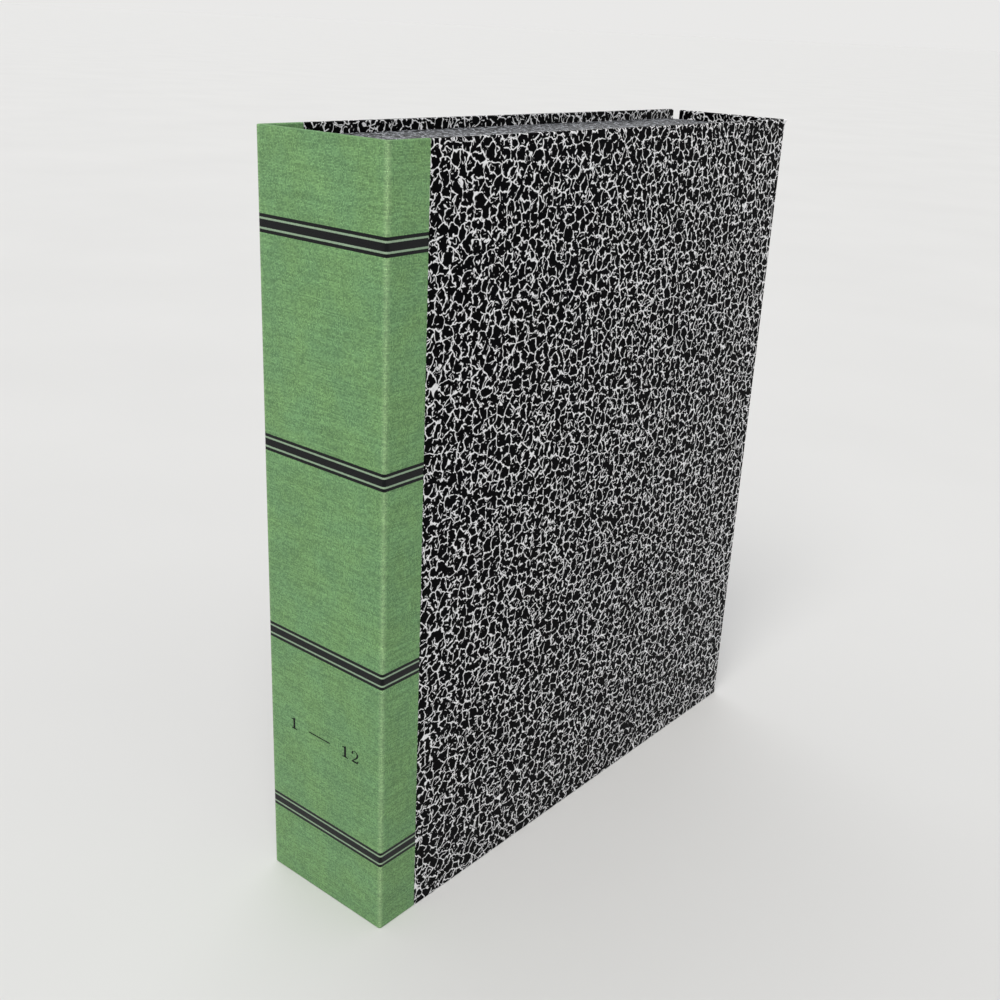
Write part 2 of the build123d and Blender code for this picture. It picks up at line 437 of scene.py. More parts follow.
class Recipe(Graph):
    """A material's node tree while it is made.

    Args:
        name: The material's name.
        roughness: The shader's roughness.
        specular: The shader's specular level.
    """

    def __init__(self, name: str, roughness: float, specular: float = 0.5) -> None:
        self.material = bpy.data.materials.new(name)
        self.material.use_nodes = True
        super().__init__(self.material.node_tree)
        self.shader = self.tree.nodes["Principled BSDF"]
        self.shader.inputs["Roughness"].default_value = roughness
        self.shader.inputs["Specular IOR Level"].default_value = specular

    def split(self, place: Socket) -> tuple[Socket, Socket]:
        """A flat place's two measures, across the sheet and up it."""
        made = self.node("ShaderNodeSeparateXYZ", {0: place})
        return made.outputs[0], made.outputs[1]

    def shaken(self, place: Socket, grain: float, detail: float, reach: float) -> Socket:
        """A flat offset that wanders with a noise's colour.

        Args:
            place: The flat place, in millimetres.
            grain: Size of the noise's patches.
            detail: Its octaves.
            reach: How far it shakes the place.

        Returns:
            The offset's socket.
        """
        middle = (0.5, 0.5, 0.5)
        offset = self.vector("SUBTRACT", self.noise(place, grain, detail, color=True), middle)
        return self.vector("MULTIPLY", offset, (reach, reach, 0.0))

    def sheet_place(self) -> Socket:
        """The covering's flat place, in millimetres."""
        return self.vector("MULTIPLY", self.node("ShaderNodeUVMap", uv_map=SHEET).outputs[0], PER_METRE)

    def object_place(self) -> Socket:
        """The place on the object, in millimetres."""
        return self.vector("MULTIPLY", self.node("ShaderNodeTexCoord").outputs["Object"], PER_METRE)

    def noise(self, place: Socket, grain: float, detail: float = 2.0, color: bool = False,
              flat: bool = True, stretch: Sequence[float] = (1.0, 1.0, 1.0)) -> Socket:
        """Noise of a grain in millimetres.

        Args:
            place: The place, in millimetres.
            grain: Size of its patches.
            detail: Octaves.
            color: Whether the colour is given in place of the value.
            flat: Whether it is two-dimensional.
            stretch: Scale along each axis.

        Returns:
            The noise's socket.
        """
        if tuple(stretch) != (1.0, 1.0, 1.0):
            place = self.vector("MULTIPLY", place, tuple(stretch))
        made = self.node(
            "ShaderNodeTexNoise", {"Vector": place, "Scale": 1.0 / grain, "Detail": detail},
            noise_dimensions="2D" if flat else "3D",
        )
        return made.outputs["Color" if color else "Fac"]

    def tone(self, noise: Socket, low: float, high: float) -> Socket:
        """A tone that goes from low to high over most of a noise's range."""
        return self.ramp(noise, 0.3, 0.7, low, high)

    def voronoi(self, place: Socket, cell: float, feature: str, randomness: float) -> bpy.types.Node:
        """A flat net of cells of a size in millimetres."""
        return self.node(
            "ShaderNodeTexVoronoi", {"Vector": place, "Scale": 1.0 / cell, "Randomness": randomness},
            voronoi_dimensions="2D", feature=feature,
        )

    def cells(self, place: Socket, size: tuple[float, float]) -> Socket:
        """A random value for each cell of a grid of that size in millimetres."""
        place = self.vector("MULTIPLY", place, (1.0 / size[0], 1.0 / size[1], 0.0))
        made = self.node(
            "ShaderNodeTexWhiteNoise", {"Vector": self.vector("FLOOR", place)}, noise_dimensions="2D"
        )
        return made.outputs["Value"]

    def weave(self, place: Socket, thread: tuple[float, float]) -> Socket:
        """Height of a plain weave, from 0 between the threads to 1 on their crowns.

        Args:
            place: The flat place, in millimetres.
            thread: Spacing of the threads across and along, in millimetres.

        Returns:
            The height's socket.
        """
        ways = self.split(self.vector("MULTIPLY", place, (1.0 / thread[0], 1.0 / thread[1], 0.0)))
        whole = self.chain("ADD", *(self.sum("FLOOR", way) for way in ways))
        warp_up = self.sum("FLOORED_MODULO", whole, 2.0)
        crowns = [self.sum("ABSOLUTE", self.sum("SINE", self.product(way, math.pi))) for way in ways]
        swell = 0.45
        warp, weft = (
            self.product(crown, self.sum("MULTIPLY_ADD", other, swell, 1.0 - swell))
            for crown, other in (crowns, crowns[::-1])
        )
        return self.sum("ADD", weft, self.product(warp_up, self.sum("SUBTRACT", warp, weft)))

    def tint(self, color: object, amount: Socket) -> Socket:
        """Multiplies a colour's brightness by an amount."""
        return self.node("ShaderNodeHueSaturation", {"Color": color, "Value": amount}).outputs[0]

    def surface(self, color: Socket, height: Optional[Socket] = None, depth: float = 0.1,
                roughness: Optional[Socket] = None) -> bpy.types.Material:
        """Wires the shader.

        Args:
            color: Base colour.
            height: Relief, from 0 to 1.
            depth: The relief's depth, in millimetres.
            roughness: Roughness, where it changes over the surface.

        Returns:
            The finished material.
        """
        self.feed(self.shader.inputs["Base Color"], color)
        if roughness is not None:
            self.feed(self.shader.inputs["Roughness"], roughness)
        if height is not None:
            relief = self.node("ShaderNodeBump", {"Strength": 1.0, "Distance": depth * MM, "Height": height})
            self.feed(self.shader.inputs["Normal"], relief.outputs[0])
        return self.material


@dataclass(frozen=True)
class Spot:
    """A rubbed spot on the flat paper, in millimetres.

    Args:
        across: Its middle across the sheet.
        along: Its middle up the sheet.
        half_width: Half its width.
        half_height: Half its height.
    """

    across: float
    along: float
    half_width: float
    half_height: float


@dataclass(frozen=True)
class Aging:
    """A yellowed head edge of the flat paper, in millimetres.

    Args:
        across: Where it starts across the sheet.
        along: Where it is strongest up the sheet.
        depth: Over how much it fades.
        share: How strong it is.
        color: Colour of the aged paper.
    """

    across: float
    along: float
    depth: float = 1.6
    share: float = 0.5
    color: Color = (0.66, 0.57, 0.33)


@dataclass(frozen=True)
class MarbledPaper:
    """Black paper with a broken net of white veins, a little glossy. Sizes are in millimetres.

    Args:
        cell: Size of the black cells.
        fine_cell: Size of the smaller cells in the dense patches.
        dot_cell: Spacing of the dots.
        vein: Half the width of a vein.
        fine_vein: The same in the dense patches.
        soft: Half the width of a vein's soft rim.
        gaps: Noise levels between which a vein goes from gone to whole.
        fine_gaps: The same in the dense patches.
        dense: Noise levels between which a dense patch starts.
        knot: Distances from a cell's seed between which a junction fills, as shares of the cell.
        wander: Size and reach of the veins' slow bends.
        tremble: Size and reach of their quick ones.
        ink: Colour of the cells.
        paper: Colour of the veins.
    """

    cell: float = 4.6
    fine_cell: float = 2.9
    dot_cell: float = 1.7
    vein: float = 0.25
    fine_vein: float = 0.8 * 0.25
    soft: float = 0.09
    gaps: tuple[float, float] = (0.30, 0.40)
    fine_gaps: tuple[float, float] = (0.42, 0.50)
    dense: tuple[float, float] = (0.53, 0.55)
    knot: tuple[float, float] = (0.84, 0.90)
    wander: tuple[float, float] = (4.8, 2.6)
    tremble: tuple[float, float] = (1.6, 1.1)
    ink: Color = (0.0010, 0.0010, 0.0015)
    paper: Color = (0.90, 0.90, 0.91)

    def material(
        self, name: str, worn: Sequence[Spot] = (), aged: Optional[Aging] = None
    ) -> bpy.types.Material:
        """Makes the material.

        Args:
            name: The material's name.
            worn: Spots rubbed down to white.
            aged: Where the paper's edge has gone yellow.

        Returns:
            The material.
        """
        recipe = Recipe(name, roughness=0.5, specular=0.015)
        place = recipe.sheet_place()
        across, along = recipe.split(place)
        bent = self.bend(recipe, place)
        elsewhere = recipe.vector("ADD", bent, (137.0, 71.0, 0.0))
        coarse = self.net(recipe, place, bent, self.cell, self.vein, self.gaps)
        fine = self.net(recipe, elsewhere, elsewhere, self.fine_cell, self.fine_vein, self.fine_gaps)
        fine = recipe.product(recipe.ramp(recipe.noise(place, 5.0, 1.0), *self.dense), fine)
        white = recipe.chain(
            "MAXIMUM", coarse, fine, self.dots(recipe, bent), *self.rubbed(recipe, place, worn)
        )
        ink_tone = recipe.tint(self.ink, recipe.tone(recipe.noise(place, 9.0, 3.0), 0.7, 1.6))
        paper_tone = recipe.tint(self.paper, recipe.ramp(recipe.noise(place, 1.8), 0.3, 0.6, 0.82, 1.0))
        if aged is not None:
            rim = recipe.ramp(recipe.apart(along, aged.along), 0.0, aged.depth, aged.share, 0.0)
            side = recipe.ramp(across, aged.across, aged.across + aged.depth)
            paper_tone = recipe.mix(recipe.product(rim, side), paper_tone, aged.color)
        color = recipe.mix(white, ink_tone, paper_tone)
        tooth = recipe.product(recipe.noise(place, 0.9, 3.0), 0.6)
        relief = recipe.sum("ADD", tooth, recipe.product(white, -0.25))
        gloss = recipe.ramp(white, 0.0, 1.0, 0.42, 0.6)
        return recipe.surface(color, relief, 0.04, gloss)

    def bend(self, recipe: Recipe, place: Socket) -> Socket:
        """The place, wandering and trembling as wet ink does."""
        bent = place
        for size, reach in (self.wander, self.tremble):
            bent = recipe.vector("ADD", bent, recipe.shaken(place, size, 0.0, reach))
        return bent

    def dots(self, recipe: Recipe, bent: Socket) -> Socket:
        """1 on the dots in some of the cells, 0 elsewhere."""
        seeds = recipe.voronoi(bent, self.dot_cell, "F1", 1.0)
        chance = recipe.node("ShaderNodeSeparateColor", {"Color": seeds.outputs["Color"]}).outputs[0]
        return recipe.ramp(recipe.sum("ADD", seeds.outputs["Distance"], chance), 0.15, 0.22, 1.0, 0.0)

    @staticmethod
    def rubbed(recipe: Recipe, place: Socket, worn: Sequence[Spot]) -> list[Socket]:
        """For each spot, 1 where it is rubbed white and 0 elsewhere, with a ragged rim."""
        ragged = recipe.sum("MULTIPLY_ADD", recipe.noise(place, 1.2), 0.9, -0.45)
        across, along = recipe.split(place)
        spots = []
        for spot in worn:
            aside = recipe.sum("DIVIDE", recipe.sum("SUBTRACT", across, spot.across), spot.half_width)
            above = recipe.sum("DIVIDE", recipe.sum("SUBTRACT", along, spot.along), spot.half_height)
            squares = recipe.sum("MULTIPLY_ADD", aside, aside, recipe.sum("POWER", above, 2.0))
            rim = recipe.sum("ADD", recipe.sum("SQRT", squares), ragged)
            spots.append(recipe.ramp(rim, 0.8, 1.05, 1.0, 0.0))
        return spots

    def net(
        self, recipe: Recipe, place: Socket, bent: Socket, cell: float, vein: float,
        gaps: tuple[float, float],
    ) -> Socket:
        """A net of veins with filled junctions and some gaps.

        Args:
            recipe: The node tree.
            place: The flat place.
            bent: The wandering place.
            cell: Size of the net's cells.
            vein: Half the width of its veins.
            gaps: Noise levels between which a vein goes from gone to whole.

        Returns:
            1 on a vein, 0 in a cell.
        """
        seeds, cracks = (
            recipe.voronoi(bent, cell, feature, 0.9).outputs["Distance"]
            for feature in ("F1", "DISTANCE_TO_EDGE")
        )
        width = recipe.product(recipe.tone(recipe.noise(place, 1.7, 0.0), 0.75, 1.3), vein)
        whole = recipe.ramp(recipe.noise(place, 2.4, 0.0), *gaps, -0.45, 0.0)
        edge = recipe.sum("SUBTRACT", recipe.product(cracks, cell), recipe.sum("ADD", width, whole))
        line = recipe.ramp(edge, -self.soft, self.soft, 1.0, 0.0)
        return recipe.sum("MAXIMUM", line, recipe.ramp(seeds, *self.knot))


@dataclass(frozen=True)
class Bookcloth:
    """Green woven cloth with four black triple bands. Sizes are in millimetres.

    Args:
        thread: Spacing of the threads across and along.
        weft_run: How many threads a weft thread keeps its shade for.
        warp_run: The same for a warp thread.
        color: The cloth's colour.
        warm_color: Its yellower shade, in patches and threads.
        worn_color: Its lighter colour on the folds, partly rubbed wear and partly a painted highlight.
        worn_share: How strong that is on a fold.
        bands: Heights of the four bands' middles.
        line: Half the height of the thick line.
        gap: Height of the cloth between the lines.
        hair: Height of the thin lines.
        soft: Half the width of a line's soft rim.
        ink: The bands' colour.
        halo: Colour of the cloth in the gaps.
    """

    thread: tuple[float, float] = (0.55, 0.50)
    weft_run: float = 22.0
    warp_run: float = 14.0
    color: Color = (0.156, 0.314, 0.149)
    warm_color: Color = (0.180, 0.332, 0.127)
    worn_color: Color = (0.44, 0.62, 0.33)
    worn_share: float = 0.36
    bands: tuple[float, ...] = (34.8, 117.6, 199.3, 283.5)
    line: float = 1.45
    gap: float = 0.75
    hair: float = 1.25
    soft: float = 0.06
    ink: Color = (0.003, 0.0035, 0.0045)
    halo: Color = (0.36, 0.44, 0.36)

    def material(self, name: str, folds: Sequence[float]) -> bpy.types.Material:
        """Makes the material.

        Args:
            name: The material's name.
            folds: Flat places across the sheet of the folds, where rubbed wear and a painted highlight
                lighten the cloth, in millimetres.

        Returns:
            The material.
        """
        recipe = Recipe(name, roughness=0.85, specular=0.12)
        recipe.shader.inputs["Sheen Weight"].default_value = 0.05
        recipe.shader.inputs["Sheen Roughness"].default_value = 0.5
        place = recipe.sheet_place()
        across, along = recipe.split(place)
        threads = recipe.vector("ADD", place, recipe.shaken(place, 6.0, 2.0, 0.7))
        crossing = recipe.cells(threads, self.thread)
        knit = recipe.weave(threads, self.thread)
        # The folds are lightened: rubbed wear, and a painted highlight on the rounded corners.
        color = recipe.mix(
            self.rubbing(recipe, across, threads, folds),
            recipe.mix(self.warmth(recipe, place, crossing), self.color, self.warm_color),
            self.worn_color,
        )
        color = recipe.tint(color, self.shading(recipe, place, threads, crossing, knit))
        ink, gaps = self.printing(recipe, along, threads)
        color = recipe.mix(ink, recipe.mix(recipe.product(gaps, 0.6), color, self.halo), self.ink)
        relief = recipe.product(knit, recipe.ramp(ink, 0.0, 1.0, 1.0, 0.45))
        gloss = recipe.ramp(ink, 0.0, 1.0, 0.85, 0.45)
        return recipe.surface(color, relief, 0.06, gloss)

    def shading(
        self, recipe: Recipe, place: Socket, threads: Socket, crossing: Socket, knit: Socket
    ) -> Socket:
        """The cloth's tone: every crossing, weft and warp thread, cloud and slub has its own, and painted
        shade darkens the hollows between the threads' crowns.
        """
        across, along = self.thread
        weft = recipe.cells(threads, (across * self.weft_run, along))
        warp = recipe.cells(threads, (across, along * self.warp_run))
        slub = recipe.noise(place, 1.5, stretch=(0.35, 1.6, 1.0))
        return recipe.product(
            recipe.ramp(crossing, 0.0, 1.0, 0.76, 1.25),
            recipe.ramp(weft, 0.0, 1.0, 0.89, 1.11),
            recipe.ramp(warp, 0.0, 1.0, 0.96, 1.04),
            recipe.tone(recipe.noise(place, 24.0, 3.0), 0.97, 1.04),
            # Painted shade: darker in the hollows between the threads, lighter on their crowns.
            recipe.ramp(knit, 0.0, 1.0, 0.62, 1.24),
            recipe.ramp(slub, 0.62, 0.74, 1.0, 1.18),
        )

    @staticmethod
    def warmth(recipe: Recipe, place: Socket, crossing: Socket) -> Socket:
        """The share of the yellower shade, in patches and threads."""
        patches = recipe.ramp(recipe.noise(place, 18.0, 3.0), 0.35, 0.65, 0.1, 0.5)
        return recipe.sum("ADD", patches, recipe.product(crossing, 0.35))

    def rubbing(
        self, recipe: Recipe, across: Socket, threads: Socket, folds: Sequence[float]
    ) -> Socket:
        """The share of the lighter fold colour, strongest on the folds: rubbed wear and a painted highlight.
        """
        fuzz = recipe.product(recipe.noise(threads, 1.2), 1.2)
        # Painted highlight and wear along each fold, with a ragged rim from noise.
        shares = (
            recipe.ramp(recipe.sum("ADD", recipe.apart(across, fold), fuzz), 0.5, 3.0, self.worn_share, 0.0)
            for fold in folds
        )
        return recipe.chain("MAXIMUM", *shares)

    def printing(self, recipe: Recipe, along: Socket, threads: Socket) -> tuple[Socket, Socket]:
        """The bands' ink, and the cloth between the lines of each band."""
        away = recipe.chain("MINIMUM", *(recipe.apart(along, band) for band in self.bands))
        bleed = recipe.sum("SUBTRACT", recipe.noise(threads, 0.7, 1.0), 0.5)
        away = recipe.sum("ADD", away, recipe.product(bleed, 0.16))
        inner = self.line + self.gap
        outer = inner + self.hair
        thick, thin_end = (
            recipe.ramp(away, rim - self.soft, rim + self.soft, 1.0, 0.0) for rim in (self.line, outer)
        )
        thin = recipe.product(recipe.ramp(away, inner - self.soft, inner + self.soft), thin_end)
        return recipe.sum("MAXIMUM", thick, thin), recipe.ramp(away, inner - 0.05, inner, 1.0, 0.0)


@dataclass(frozen=True)
class PlainPaper:
    """Paper or card of one colour with fibres and a little tooth. Sizes are in millimetres.

    Args:
        color: The paper's colour.
        fibre: Length of its fibres.
        contrast: How much the tone changes.
        roughness: The shader's roughness.
        flecks: Share of darker flecks.
    """

    color: Color
    fibre: float = 2.5
    contrast: float = 0.10
    roughness: float = 0.8
    flecks: float = 0.0

    def material(self, name: str) -> bpy.types.Material:
        """Makes the material."""
        recipe = Recipe(name, roughness=self.roughness)
        place = recipe.object_place()
        fibres = recipe.noise(place, self.fibre, 4.0, flat=False, stretch=(1.0, 1.0, 0.35))
        cloud = recipe.noise(place, 40.0, 3.0, flat=False)
        tones = (
            recipe.tone(noise, 1.0 - spread, 1.0 + spread)
            for noise, spread in ((fibres, self.contrast), (cloud, self.contrast / 2))
        )
        color = recipe.tint(self.color, recipe.product(*tones))
        if self.flecks:
            fleck = recipe.ramp(recipe.noise(place, 0.8, flat=False), 0.62, 0.70, 0.0, self.flecks)
            color = recipe.mix(fleck, color, tuple(0.45 * part for part in self.color))
        return recipe.surface(color, fibres, 0.04)


@dataclass(frozen=True)
class PrintingInk:
    """Black ink pressed on cloth.

    Args:
        color: The ink's colour.
    """

    color: Color = (0.004, 0.0045, 0.005)

    def material(self, name: str) -> bpy.types.Material:
        """Makes the material."""
        recipe = Recipe(name, roughness=0.55, specular=0.12)
        grain = recipe.noise(recipe.object_place(), 0.5, flat=False)
        return recipe.surface(recipe.tint(self.color, recipe.tone(grain, 0.6, 1.8)), grain, 0.03)


class Wardrobe:
    """Every finish of the file, made once.

    Args:
        sizes: The file's planes.
    """

    def __init__(self, sizes: FileSizes) -> None:
        # The cloth's two spine folds get rubbed wear and a painted highlight.
        self.cloth = Bookcloth().material("green_bookcloth", (sizes.x_front / MM, sizes.x_back / MM))
        fold, head = sizes.y_fore / MM, sizes.height / MM
        foot_rub = Spot(fold, 5.0, 1.5, 3.6)
        head_rub = Spot(fold, head - 0.2, 1.7, 1.5)
        chip = Spot(fold + 0.4, head - 4.6, 0.7, 0.9)
        self.marbled = MarbledPaper().material(
            "marbled_cover_paper", (foot_rub, head_rub, chip), Aging(fold + 3.0, head)
        )
        self.marbled_plain = MarbledPaper().material("marbled_board_paper")
        self.marbled_tray = MarbledPaper(paper=(0.58, 0.60, 0.64)).material("marbled_tray_paper")
        self.board = PlainPaper((0.36, 0.34, 0.30), 1.5, 0.18, 0.9, 0.5).material("grey_pulp_board")
        self.lining = PlainPaper((0.66, 0.62, 0.52), 3.0, 0.06, 0.75, 0.12).material("cream_lining_paper")
        self.card = PlainPaper((0.50, 0.38, 0.22), 1.2, 0.12, 0.85, 0.35).material("buff_card")
        self.gusset = PlainPaper((0.085, 0.20, 0.085), 1.6, 0.12, 0.8).material("green_gusset_paper")
        self.label = PlainPaper((0.78, 0.76, 0.70), 2.0, 0.04, 0.7).material("white_label_paper")
        self.ink = PrintingInk().material("black_ink")


def dress(piece: Piece, material: bpy.types.Material) -> Piece:
    """Gives a piece its material."""
    piece.data.materials.clear()
    piece.data.materials.append(material)
    return piece


# The case


@dataclass
class SpineWrap:
    """The green cloth round the spine and both joints, one sheet over the boards.

    Args:
        sizes: The file's planes.
        sink: How far the cloth lies below the marbled paper that laps it.
        edge: Rounding of the head and tail edges.
        corner: Radius of the rounded folds.
        corner_segments: Facets in each rounded corner.
    """

    sizes: FileSizes
    sink: float = 0.12 * MM
    edge: float = 0.55 * MM
    corner: float = 1.2 * MM
    corner_segments: int = 6

    def build(self) -> Piece:
        """Models the wrap as a channel with rounded outer corners.

        Returns:
            The piece, at rest.
        """
        s = self.sizes
        x_low, x_high = s.x_back + self.sink, s.x_front - self.sink
        wrap = Bench.block("spine_wrap", (x_low, s.y_spine, 0), (x_high, s.y_spine_inside, s.height))
        for x in (s.x_back_inside, s.x_front_inside):
            Bench.cut(wrap, (x, 0, 0), (1, 0, 0))
        reach = s.y_cloth_edge - s.y_spine_inside
        Bench.extrude(
            wrap,
            lambda face: face.normal.y > SQUARE_ON
            and not s.x_back_inside < face.calc_center_median().x < s.x_front_inside,
            (0, reach, 0),
        )
        Bench.bevel(
            wrap,
            lambda edge: upright(edge) and on_plane(edge, ALONG, s.y_spine)
            and (on_plane(edge, ACROSS, x_low) or on_plane(edge, ACROSS, x_high)),
            self.corner, self.corner_segments,
        )
        joint_rows(wrap, s, s.y_spine_inside, 1)
        Bench.bevel(
            wrap,
            lambda edge: cap_rim(edge, s.height) and not on_plane(edge, ALONG, s.y_cloth_edge),
            self.edge, EDGE_SEGMENTS,
        )
        return Bench.unwrap(Bench.finish(wrap), self.flat_place)

    def flat_place(self, point: Vector, normal: Vector) -> tuple[float, float]:
        """Where a point lies on the flat cloth: round the spine, and up it."""
        s = self.sizes
        run = point.y - s.y_spine
        across = point.x + math.copysign(run, point.x)
        if normal.y > FACING or -normal.x * math.copysign(1.0, point.x) > FACING:
            return across, s.turned_in(point)
        if abs(normal.z) > FACING:
            depth = min(run, s.x_front - point.x, point.x - s.x_back)
            return across, over_end(point, normal, depth)
        return across, point.z

    def dress(self, wrap: Piece, finishes: Wardrobe) -> None:
        """Dresses the wrap, hides the CAD nodes that it replaces and bakes its place into its mesh."""
        dress(wrap, finishes.cloth)
        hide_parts("spine_cloth", "back_cover_cloth", "front_cover_cloth", "spine_hinge_fold")
        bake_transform(wrap)


@dataclass
class BackPaper:
    """The marbled paper over the back board.

    Args:
        sizes: The file's planes.
        edge: Rounding of the board's edges under the paper.
        cut_from: Where on a long flat sheet it is cut out, in metres.
    """

    sizes: FileSizes
    edge: float = 0.55 * MM
    cut_from: float = 0.4

    def build(self) -> Piece:
        """Models the covered back board."""
        s = self.sizes
        low, high = (s.x_back, s.y_cloth_edge, 0), (s.x_back_inside, s.y_fore, s.height)
        paper = Bench.block("back_paper", low, high)
        Bench.bevel(
            paper, lambda edge: not on_plane(edge, ALONG, s.y_cloth_edge), self.edge, EDGE_SEGMENTS
        )
        return Bench.unwrap(Bench.finish(paper), self.flat_place)

    def flat_place(self, point: Vector, normal: Vector) -> tuple[float, float]:
        """Where a point lies on the flat paper: along the board, and up it."""
        s = self.sizes
        across, depth = point.y + self.cut_from, point.x - s.x_back
        if normal.x > FACING:
            return across, s.turned_in(point)
        if abs(normal.z) > FACING:
            return across, over_end(point, normal, depth)
        return across + (depth if normal.y > FACING else 0.0), point.z

    def dress(self, paper: Piece, finishes: Wardrobe) -> None:
        """Dresses the paper and puts it on the case."""
        dress(paper, finishes.marbled_plain)
        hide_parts("back_cover_paper")
        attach(paper, Body.CASE.value)


@dataclass
class CoverPaper:
    """The marbled paper over the front board and round on to the fore-edge flap.

    Args:
        sizes: The file's planes.
        edge: Rounding of the boards' edges under the paper.
        corner: Radius of the rounded fold.
        corner_segments: Facets in the rounded fold.
        ear: How far the fold's head corner is turned outwards.
        ear_height: How far down that starts.
        ear_steps: Rows of vertices over that height.
    """

    sizes: FileSizes
    edge: float = 0.55 * MM
    corner: float = 1.2 * MM
    corner_segments: int = 6
    ear: float = 1.3 * MM
    ear_height: float = 5.0 * MM
    ear_steps: int = 5

    def build(self) -> Piece:
        """Models the covered boards as an angle with a rounded fold.

        Returns:
            The piece, at rest.
        """
        s = self.sizes
        paper = Bench.block(
            "cover_paper", (s.x_front_inside, s.y_cloth_edge, 0), (s.x_front, s.y_fore, s.height)
        )
        Bench.cut(paper, (0, s.y_fore_inside, 0), (0, 1, 0))
        Bench.extrude(
            paper,
            lambda face: face.normal.x < -SQUARE_ON and face.calc_center_median().y > s.y_fore_inside,
            (s.x_flap_free - s.x_front_inside, 0, 0),
        )
        Bench.bevel(
            paper,
            lambda edge: upright(edge) and on_plane(edge, ACROSS, s.x_front)
            and on_plane(edge, ALONG, s.y_fore),
            self.corner, self.corner_segments,
        )
        joint_rows(paper, s, s.y_fore_inside, -1)
        steps = range(self.ear_steps, 0, -1)
        levels = [s.height - self.ear_height * step / self.ear_steps for step in steps]
        for level in levels:
            Bench.cut(paper, (0, 0, level), (0, 0, 1))
        Bench.bevel(
            paper,
            lambda edge: (cap_rim(edge, s.height) or self.is_free_edge(edge))
            and not on_plane(edge, ALONG, s.y_cloth_edge),
            self.edge, EDGE_SEGMENTS,
        )
        self.flare(paper, levels)
        return Bench.unwrap(Bench.finish(paper), self.flat_place)

    def flare(self, paper: Piece, levels: list[float]) -> None:
        """Turns the fold's head corner outwards a little, as a knocked corner is.

        Args:
            paper: The piece.
            levels: Heights at which it has rows of vertices, rising.
        """
        fold = self.sizes.x_front + self.sizes.y_fore - self.sizes.wall
        for index, level in enumerate(levels):
            step = self.ear * (2 * index + 1) / len(levels) ** 2
            Bench.pick(
                paper, Select.VERTS,
                lambda vert: vert.co.z > level + 10 * SAME_PLACE and vert.co.x + vert.co.y > fold,
            )
            bpy.ops.transform.translate(value=(step / 2, step, 0.0))

    def is_free_edge(self, edge: bmesh.types.BMEdge) -> bool:
        """Whether an edge is one of the flap's free upright edges."""
        return upright(edge) and on_plane(edge, ACROSS, self.sizes.x_flap_free)

    def flat_place(self, point: Vector, normal: Vector) -> tuple[float, float]:
        """Where a point lies on the flat paper: round from the joint to the flap, and up it."""
        s = self.sizes
        across = point.y + s.x_front - point.x
        on_flap = point.y > s.y_fore_inside and point.x < s.x_front_inside
        depth = s.y_fore - point.y if on_flap else s.x_front - point.x
        if abs(normal.z) > FACING:
            return across + (depth if on_flap else -depth), over_end(point, normal, depth)
        if normal.x < -FACING and not on_flap or normal.y < -FACING:
            return across, s.turned_in(point)
        return across, point.z

    def dress(self, paper: Piece, finishes: Wardrobe) -> None:
        """Dresses the paper, hides the CAD nodes that it replaces and bakes its place into its mesh."""
        dress(paper, finishes.marbled)
        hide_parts("front_cover_paper", "flap_paper", "flap_hinge_fold")
        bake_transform(paper)


@dataclass
class Lining:
    """A sheet of lining paper pasted over the turn-ins of one board.

    Args:
        node: The CAD node that it stands for.
        body: What it rides on.
        outward: Direction in which its face looks.
        proud: How far it stands proud of the turn-ins.
        buried: How far it goes into the board.
        margin: How far it stops short of the board's joints.
        corner: Radius of its corners.
        rim: Rounding of its face's edges.
    """

    node: str
    body: Body
    outward: tuple[int, int, int]
    proud: float = 0.10 * MM
    buried: float = 0.15 * MM
    margin: float = 1.2 * MM
    corner: float = 1.5 * MM
    rim: float = 0.06 * MM

    def build(self) -> Piece:
        """Models the sheet with softened corners."""
        low, high = (Vector(corner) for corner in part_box(self.node))
        axis, other = (ACROSS, ALONG) if self.outward[ACROSS] else (ALONG, ACROSS)
        if self.outward[axis] > 0:
            low[axis], high[axis] = high[axis] - self.buried, high[axis] + self.proud
        else:
            low[axis], high[axis] = low[axis] - self.proud, low[axis] + self.buried
        low[other] += self.margin
        high[other] -= self.margin
        sheet = Bench.block(f"{self.node}_sheet", low, high)
        outer = (high if self.outward[axis] > 0 else low)[axis]
        Bench.bevel(
            sheet,
            lambda edge: abs((edge.verts[0].co - edge.verts[1].co).normalized()[axis]) > SQUARE_ON,
            self.corner, 4,
        )
        Bench.bevel(
            sheet,
            lambda edge: on_plane(edge, axis, outer)
            and any(abs(face.normal[axis]) < FACING for face in edge.link_faces),
            self.rim, 2,
        )
        return Bench.finish(sheet)

    def dress(self, sheet: Piece, finishes: Wardrobe) -> None:
        """Dresses the sheet and puts it on its board."""
        dress(sheet, finishes.lining)
        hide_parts(self.node)
        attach(sheet, self.body.value)


@dataclass
class TrayWrap:
    """The marbled paper round the tray's head or tail wall.

    Args:
        node: The CAD node that it stands for.
        edge: Rounding of the wall's edges under the paper.
        cut_from: Where on a long flat sheet it is cut out, across and up, in metres.
    """

    node: str
    edge: float = 0.5 * MM
    cut_from: tuple[float, float] = (0.9, 0.7)

    def build(self) -> Piece:
        """Models the covered wall."""
        low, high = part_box(self.node)
        wrap = Bench.block(f"{self.node}_wrap", low, high)
        Bench.bevel(
            wrap,
            lambda edge: on_plane(edge, ACROSS, high.x) or on_plane(edge, ALONG, high.y),
            self.edge, EDGE_SEGMENTS,
        )
        return Bench.unwrap(Bench.finish(wrap), self.flat_place)

    def flat_place(self, point: Vector, normal: Vector) -> tuple[float, float]:
        """Where a point lies on the flat paper."""
        across, up = self.cut_from
        if abs(normal.z) > FACING:
            return point.y + across, point.x + up
        if abs(normal.x) > FACING:
            return point.y + across, point.z + up
        return point.x + across, point.z + up

    def dress(self, wrap: Piece, finishes: Wardrobe) -> None:
        """Dresses the wall and puts it on the case."""
        dress(wrap, finishes.marbled_tray)
        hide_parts(self.node)
        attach(wrap, Body.CASE.value)


# The bellows


